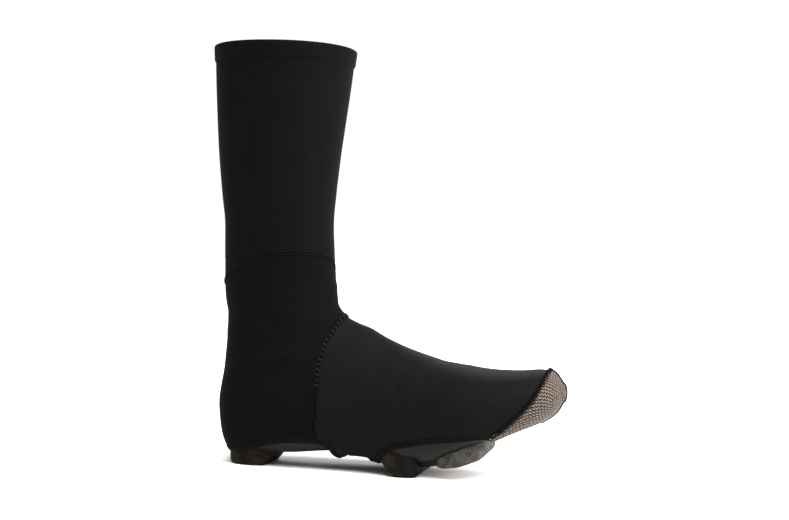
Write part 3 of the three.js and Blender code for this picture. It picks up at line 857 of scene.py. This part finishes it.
def stitches(line, pitch, shares, across, heights):
    """Short threads along a line, one to each pitch. shares says where in it their points lie."""
    known = lengths(line)
    left = left_of(line)
    strands = []
    for k in range(int(known[-1] / pitch)):
        at = np.clip((k + np.array(shares)) * pitch, 0, known[-1])
        side = unit(columns_at(at, known, left))
        place, out = on_cover(columns_at(at, known, line) + side * np.reshape(across, (-1, 1)))
        strands.append(place + out * np.reshape(heights, (-1, 1)))
    return strands


def flatlock(name, line, node_name, width, rung_pitch, rung_thread, lean=0.9, lowest=0.0):
    """A flat seam: a band, stitches along its edges and, above the lowest height, rungs across it."""
    half = width / 2
    edge_pitch = 2.6
    radius = 0.24
    profile = [
        (-half - 0.5, 0.1), (-half, 0.4), (-half + 0.4, 0.6), (-0.5, 0.55), (0, 0.35),
        (0.5, 0.55), (half - 0.4, 0.6), (half, 0.4), (half + 0.5, 0.1), (0, -0.3),
    ]
    # The band takes the dark seam tone, which holds painted shade of the overlapping panel edges.
    band(name, ribbon(line, profile), shaded_seam_band, [node_name])
    leaning = 0.5 + np.linspace(-0.5, 0.5, 5) * lean
    across = [-half + 0.15, -half * 0.5, 0.0, half * 0.5, half - 0.15]
    rungs = stitches(line, rung_pitch, leaning, across, [0.45, 0.75, 0.65, 0.75, 0.45])
    middles = (np.arange(len(rungs)) + 0.5) * rung_pitch
    high = np.interp(middles, lengths(line), line[:, 2]) >= lowest
    rungs = [rung for rung, shown in zip(rungs, high) if shown]
    edges = []
    for side in (-1, 1):
        across = side * (half - 0.1)
        edges += stitches(line, edge_pitch, [0.1, 0.35, 0.65, 0.95], across, [0.3, 0.6, 0.6, 0.3])
    threads(name + "_rungs", rungs, radius, rung_thread)
    threads(name + "_edges", edges, radius, seam_thread)


def oriented(line, field_at):
    """The line in the sense that has the cloth, where field_at is negative, on its left."""
    middle = len(line) // 3
    tangent = unit(line[(middle + 1) % len(line)] - line[middle - 1])
    _, normal = on_cover(line[middle : middle + 1])
    left = np.cross(normal[0], tangent)
    return line if field_at(line[middle] + left * 3) < 0 else line[::-1]


def edge_loop(depth, opening):
    """The line round an opening, evenly stepped and smoothed, and whether it closes."""
    line, closed = contours(depth, cover)[0]
    line = smooth_line(resample(line, 1.5, closed), 10, closed)
    line, _ = on_cover(line)
    return oriented(line, opening), closed


def bindings():
    """Bands from the hem's height up the cloth, over its edge and a little way up the inside."""
    stitch_across = 3.3
    stitch_pitch = 3.0
    profile = [
        (hem_height, 0.05), (hem_height - 0.2, 0.6), (hem_height - 0.8, 0.85), (3.6, 0.75),
        (stitch_across, 0.45), (3.0, 0.75), (1.8, 0.9), (0.5, 0.85), (-0.3, 0.45), (-0.55, -0.6),
        (-0.5, -1.8), (-0.1, -2.6), (0.8, -2.95), (3.4, -2.95), (3.6, -2.5),
    ]
    strands = []
    for name, depth, opening in (
        ("heel", heel_depth, heel_opening), ("forefoot", forefoot_depth, forefoot_opening)
    ):
        loop, closed = edge_loop(depth, opening)
        rails = ribbon(loop, profile, closed)
        band(name + "_binding", rails, trim, [name + "_hem"], closed, closed_profile=False)
        line = np.vstack([loop, loop[:1]]) if closed else loop
        shares = np.linspace(0.125, 0.875, 4)
        strands += stitches(line, stitch_pitch, shares, stitch_across, [0.4, 0.75, 0.75, 0.4])
    threads("binding_stitches", strands, 0.22, dark_thread)


upper_cloth()
upper_lining()
flatlock("ankle_flatlock", seam_line(ankle_seam_path), "ankle_seam", 3.2, 2.4, dark_thread)
instep_line = seam_line(instep_seam_path)
flatlock("instep_flatlock", instep_line, "instep_seam", 3.6, 4.5, pale_thread, lean=0.25, lowest=68.0)
flatlock("back_flatlock", seam_line(back_seam_path), "back_seam", 3.2, 2.4, dark_thread)
bindings()

# The toe caps: two cloths that meet in a seam over the middle of the toe, closed at the tip
cap_out = fit_gap + cap_wall
cap_seam_y = -0.035 * ball_width
cap_middle = Vector((270.0, -4.0, 70.0))


def cap_surface():
    first = int(np.searchsorted(rows, 14.6))
    rings = bare[first:] + bare_normals[first:] * cap_out
    hub = rings[-1].mean(0)
    tip_steps = 7
    tip_depth = 2.6
    tip = []
    for angle in np.arange(1, tip_steps + 1) / tip_steps * math.pi / 2:
        narrowed = (rings[-1] - hub) * max(math.cos(angle), 0.02)
        tip.append(hub + narrowed + [tip_depth * math.sin(angle), 0, 0])
    return np.concatenate([rings, np.array(tip)])


cap_grid = cap_surface()
cap_quads = grid_faces(len(cap_grid), ring_points)
cap_tree = surface_tree(cap_grid, cap_quads)


def on_cap(points):
    """The nearest points of the toe caps and the outward normals there."""
    places, normals = [], []
    for p in points.reshape(-1, 3):
        place, normal, _, _ = cap_tree.find_nearest(Vector(p))
        outward = normal if normal.dot(Vector(p) - cap_middle) > 0 else -normal
        places.append(tuple(place))
        normals.append(tuple(outward))
    return np.array(places), np.array(normals)


def dot_places():
    """Where the dots go: along the cap, and round it from its centre seam."""
    steps = norm(np.roll(cap_grid, -1, 1) - cap_grid, axis=2)
    around_mm = np.cumsum(steps, 1) - steps
    whole = steps.sum(1, keepdims=True)
    around_mm = np.where(around_mm > whole / 2, around_mm - whole, around_mm)
    along_mm = running_sum(norm(np.diff(cap_grid, axis=0), axis=2).mean(1))
    along_mm = along_mm[:, None] + np.zeros(ring_points)
    return np.stack([along_mm * along_share, around_mm, np.zeros_like(around_mm)], -1)


def toe_caps():
    shown = (ahead_of_cap(cap_grid) > 0) & (forefoot_opening(cap_grid) < 0)
    fields = [("weave", dot_places().reshape(-1, 3))]
    for name, side in (("toe_cap_inner", -1), ("toe_cap_outer", 1)):
        half = shown & ((cap_grid[..., 1] - cap_seam_y) * side > -0.9)
        cut_piece(name + "_cloth", cap_grid, cap_quads, half, dotted, [name], fields)


def toe_centre_seam():
    """The overlock from the cap's rear edge over the tip to the opening below."""
    middle_x = np.concatenate([cap_grid[:, 0, 0], cap_grid[::-1, ring_points // 2, 0]])
    middle_z = np.concatenate([cap_grid[:, 0, 2], cap_grid[::-1, ring_points // 2, 2]])
    centre = np.stack([middle_x, np.full(middle_x.shape, cap_seam_y), middle_z], -1)
    centre = centre[(ahead_of_cap(centre) > -1) & (forefoot_opening(centre) < 0.5)]
    centre, _ = on_cap(resample(centre, 1.0))
    centre = smooth_line(centre, 3)
    normal = unit(smooth_line(on_cap(centre)[1], 6))
    sideways = unit(np.cross(normal, unit(np.gradient(centre, axis=0))))
    profile = [
        (-1.5, 0.0), (-1.3, 0.45), (-0.7, 0.8), (0, 0.9), (0.7, 0.8), (1.3, 0.45), (1.5, 0.0),
        (0, -0.5),
    ]
    rails = [on_cap(centre + sideways * across)[0] + normal * lift for across, lift in profile]
    band("toe_centre_seam", np.array(rails), trim)
    across = np.array([-2.5, -1.7, -0.8, 0.0, 0.8, 1.7, 2.5])[:, None]
    lift = np.array([0.05, 0.4, 0.9, 1.05, 0.9, 0.4, 0.05])[:, None]
    lean = np.linspace(-0.5, 0.5, 7)[:, None]
    strands = []
    for k in range(1, len(centre) - 2, 2):
        ahead = unit(centre[k + 1] - centre[k - 1])
        places, _ = on_cap(centre[k] + sideways[k] * across + ahead * lean)
        strands.append(places + normal[k] * lift)
    threads("toe_centre_stitches", strands, 0.28, dark_thread)


def toe_edge_seam():
    """The overlock along the cap's rear edge."""
    line, closed = contours(cap_depth, cover)[0]
    if closed:
        line = np.roll(line, -int(np.argmin(line[:, 2])), 0)
    line = resample(line, 1.0)
    line = line[forefoot_opening(line) < -3.0]
    jump = np.argmax(norm(np.diff(line, axis=0), axis=1))
    if norm(line[jump + 1] - line[jump]) > 5:
        line = np.roll(line, -(jump + 1), 0)
    line, _ = on_cover(smooth_line(line, 6))
    line = oriented(line, ahead_of_cap)
    profile = [
        (1.3, 0.05), (1.1, 0.7), (0.5, 1.4), (-0.1, 1.8), (-0.7, 2.0), (-1.2, 1.9), (-1.5, 1.5),
        (-1.4, 1.0), (0, 0.2),
    ]
    band("toe_edge_seam", ribbon(line, profile), trim)
    pitch = 2.2
    shares = 0.5 + np.linspace(-0.4, 0.4, 6) / pitch
    across = [1.2, 0.5, -0.5, -1.4, -2.4, -3.4]
    heights = [0.5, 1.6, 2.1, 2.0, 1.75, 1.45]
    strands = stitches(line, pitch, shares, across, heights)
    threads("toe_edge_stitches", strands, 0.36, dark_thread)


def collar():
    """The cloth turned over the collar's edge and down the inside, with a row of stitches."""
    row_height = (1 - shaft_sections[1][0]) * (boot_height - instep_height)
    hem = collar_hem_height
    stitch_drop = hem - 2.2
    profile = [
        (0.0, hem + 1.2), (-0.6, hem + 0.7), (-1.0, hem), (-1.1, hem - 0.8), (-0.95, hem - 1.8),
        (-0.75, stitch_drop), (-0.95, hem - 2.6), (-1.15, 9.0), (-1.2, 5.0), (-1.15, 1.5),
        (-0.85, 0.5), (-0.2, 0.1), (0.8, 0.0), (2.0, 0.05), (2.9, 0.3), (3.4, 1.0), (3.6, 2.2),
        (3.6, hem - 1.0), (3.2, hem + 0.2), (2.6, hem + 0.4),
    ]
    around = np.arange(ring_points) / ring_points
    rails = np.array([skin(drop / row_height, around, inset) for inset, drop in profile])
    fields = [(key, np.zeros(rails[..., 0].size)) for key in ("forefoot", "ankle")]
    band("collar_binding", rails, cloth, ["collar_hem"], True, False, fields)
    ring = skin(stitch_drop / row_height, np.linspace(0, 1, 720), -1.0)
    s = lengths(ring)
    pitch = 3.0
    lift = np.array([-0.35, 0.05, 0.05, -0.35])[:, None]
    strands = []
    for k in range(int(s[-1] / pitch)):
        p = columns_at((k + np.linspace(0.1, 0.9, 4)) * pitch, s, ring)
        strands.append(p + unit(p - [shaft_setback, 0, p[0, 2]]) * lift)
    threads("collar_stitches", strands, 0.22, dark_thread)


toe_caps()
toe_centre_seam()
toe_edge_seam()
collar()

# The shoe's sole plate, inside the cover, with a smooth outer face and its rim
plate_rings, plate_points = 200, 160
plate_rows = even_rows(8.4, last_row - 0.8, plate_rings)
plate_turns = even_turns(plate_rows, plate_points, plate_inset)
shell = skin(plate_rows[:, None], plate_turns, plate_inset)
shell_quads = grid_faces(plate_rings, plate_points)
shell_tree = surface_tree(shell, shell_quads)
sole_line = sections(np.linspace(9, last_row, 300))[:, 2:4]
sole_line = sole_line[np.argsort(sole_line[:, 0])]


def sole_height(x):
    return np.interp(x, sole_line[:, 0], sole_line[:, 1])


def sole_shell():
    shown = shell[..., 2] < sole_height(shell[..., 0]) + plate_inset + rim_height
    made = cut_piece("sole_shell", shell, shell_quads, shown, plate, ["sole_plate"])
    wall = made.modifiers.new("wall", "SOLIDIFY")
    wall.thickness = rim_wall * MM
    wall.offset = -1


def insole():
    """A sheet over the plate's floor, turned up a little at its edge."""
    inset = plate_inset + rim_wall + fit_gap
    rings, across = 120, 41
    turned_up = 2.5
    half_spread = 0.235
    insole_rows = even_rows(9.2, last_row - 1.6, rings)
    spread = np.linspace(0.5 - half_spread, 0.5 + half_spread, across)
    tray = skin(insole_rows[:, None], spread, inset)
    thick = plate_inset + plate_thickness + fit_gap + insole_thickness
    lowest = sole_height(tray[..., 0]) + thick
    tray[..., 2] = np.clip(tray[..., 2], lowest, lowest + turned_up)
    quads = grid_faces(rings, across, closed=False).tolist()
    piece("insole_felt", tray.reshape(-1, 3), quads, lining, ["insole"])


def pad_outline(plan):
    """A rectangle with rounded corners, as points about a millimetre apart."""
    start, end, inner, outer, corner = plan
    x0, x1 = start * foot_length, end * foot_length
    y0, y1 = -inner * ball_width, outer * ball_width
    radius = corner * min(x1 - x0, y1 - y0)
    quarter_turn = np.linspace(0, math.pi / 2, 12)
    right, left, top, bottom = x1 - radius, x0 + radius, y1 - radius, y0 + radius
    ring = []
    for k, (cx, cy) in enumerate([(right, top), (left, top), (left, bottom), (right, bottom)]):
        for a in quarter_turn + k * math.pi / 2:
            ring.append((cx + radius * math.cos(a), cy + radius * math.sin(a)))
    return resample(np.array(ring), 1.0, closed=True)


def pad_seat(x, y, opening_line):
    """How high a pad reaches: to the plate, or to the opening's edge where that is lower."""
    hit = shell_tree.ray_cast(Vector((x, y, -5.0)), Vector((0, 0, 1.0)))[0]
    skin_z = hit.z + 0.4 if hit else instep_height
    return min(skin_z, np.interp(x, opening_line[:, 0], opening_line[:, 1]) - 1.0)


def pad(name, plan, profile, edge, opening_line, finish):
    """A ground pad, drawn in ring by ring over a rounded lower edge of radius edge."""
    outline = pad_outline(plan)
    along = np.roll(outline, -1, 0) - np.roll(outline, 1, 0)
    into = unit(np.stack([-along[:, 1], along[:, 0]], -1))
    low = np.array(profile) * [foot_length, instep_height]

    def bottom(p):
        return np.interp(p[:, 0], low[:, 0], low[:, 1])

    seat = np.array([pad_seat(x, y, opening_line) for x, y in outline])
    wall_foot = bottom(outline) + edge
    walls = [wall_foot + (seat - wall_foot) * share for share in np.linspace(1, 0.15, 8)]
    rings = [np.column_stack([outline, z]) for z in walls]
    for a in np.linspace(0, math.pi / 2, 8):
        p = outline + into * edge * (1 - math.cos(a))
        rings.append(np.column_stack([p, bottom(p) + edge * (1 - math.sin(a))]))
    inner = outline + into * edge
    middle = inner.mean(0)
    for share in np.linspace(0.9, 0.02, 22):
        p = middle + (inner - middle) * share
        rings.append(np.column_stack([p, bottom(p)]))
    rings = np.array(rings)
    rings[:8, :, 2] = np.maximum(rings[:8, :, 2], rings[8, :, 2])
    count = len(outline)
    faces = grid_faces(len(rings), count)[:, ::-1].tolist()
    faces.append([(len(rings) - 1) * count + k for k in range(count)])
    piece(name + "_tread", rings.reshape(-1, 3), faces, finish, [name])


def soften_hardware():
    """Cleat and bolts as packed, with softened edges."""
    # The cleat's finish carries the painted shade of the hollow it sits in.
    finishes = {"cleat": shaded_cleat_metal, "cleat_bolt_rear": brass, "cleat_bolt_front": brass}
    for name, finish in finishes.items():
        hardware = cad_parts[name]
        hardware.data.materials.clear()
        hardware.data.materials.append(finish)
        rounded = hardware.modifiers.new("edges", "BEVEL")
        rounded.width = 0.3 * MM
        rounded.segments = 3
        rounded.limit_method = "ANGLE"
        rounded.angle_limit = math.radians(35)


sole_shell()
insole()
# The opening's edge but for its end at the toe, which turns straight down
forefoot_sides = forefoot_line[:-12]
pad("heel_pad", heel_pad_plan, heel_pad_profile, 2.6, heel_line, rubber)
pad("ball_pad", ball_pad_plan, ball_pad_profile, 2.6, forefoot_sides, rubber)
pad("toe_pad", toe_pad_plan, toe_pad_profile, 2.2, forefoot_sides, toe_rubber)
soften_hardware()


# The floor, the light and the camera
def floor():
    half = 60.0
    finish, _, _ = material("floor_white", (0.9, 0.88, 0.855), 0.8, specular=0.1)
    mesh = bpy.data.meshes.new("floor")
    corners = [(-half, -half, 0), (half, -half, 0), (half, half, 0), (-half, half, 0)]
    mesh.from_pydata(corners, [], [(0, 1, 2, 3)])
    mesh.materials.append(finish)
    floor_piece = add("floor", mesh)


def studio():
    """White all round, which lights the shoe less than it shows behind it."""
    glow, shown = 0.38, 1.02
    world = bpy.data.worlds.new("studio")
    bpy.context.scene.world = world
    world.use_nodes = True
    tree = world.node_tree
    background = tree.nodes["Background"]
    plug(background, "Color", (1, 1, 1, 1))
    seen = node(tree, "LightPath").outputs["Is Camera Ray"]
    plug(background, "Strength", stretch(tree, seen, 0, 1, glow, shown))


def area_light(name, place, size, power):
    """A soft rectangle of light, turned to the middle of the shoe."""
    data = bpy.data.lights.new(name, "AREA")
    data.shape = "RECTANGLE"
    data.size, data.size_y = size
    data.energy = power
    target = Vector((0.0, 0.0, 0.15))
    add(name, data, place, (target - Vector(place)).to_track_quat("-Z", "Y"))


def overhead_light():
    data = bpy.data.lights.new("overhead", "SUN")
    data.energy = 7.4
    data.angle = math.radians(55)
    add("overhead", data, turn=Vector((-0.3, 0.5, -1.0)).to_track_quat("-Z", "Y"))


def camera():
    """Where the photograph was taken from, with a longer lens, so that the one shoe fills it."""
    image_width = 789
    focal_pixels = 1400
    yaw, roll = math.radians(12), math.radians(2)
    data = bpy.data.cameras.new("camera")
    data.sensor_width = 36
    data.lens = data.sensor_width * focal_pixels / image_width
    place = Vector((399.5 + shift_x, -1173.8, 180.0)) * MM
    level = Vector((math.sin(-yaw), math.cos(yaw), 0)).to_track_quat("-Z", "Y")
    turn = level @ Matrix.Rotation(roll, 4, "Z").to_quaternion()
    bpy.context.scene.camera = add("camera", data, place, turn)


floor()
studio()
area_light("key", (1.9, -0.1, 0.9), (1.0, 1.2), 80)
area_light("back", (0.2, 1.8, 1.5), (1.6, 1.2), 30)
overhead_light()
camera()
bpy.context.scene.view_settings.view_transform = "Standard"
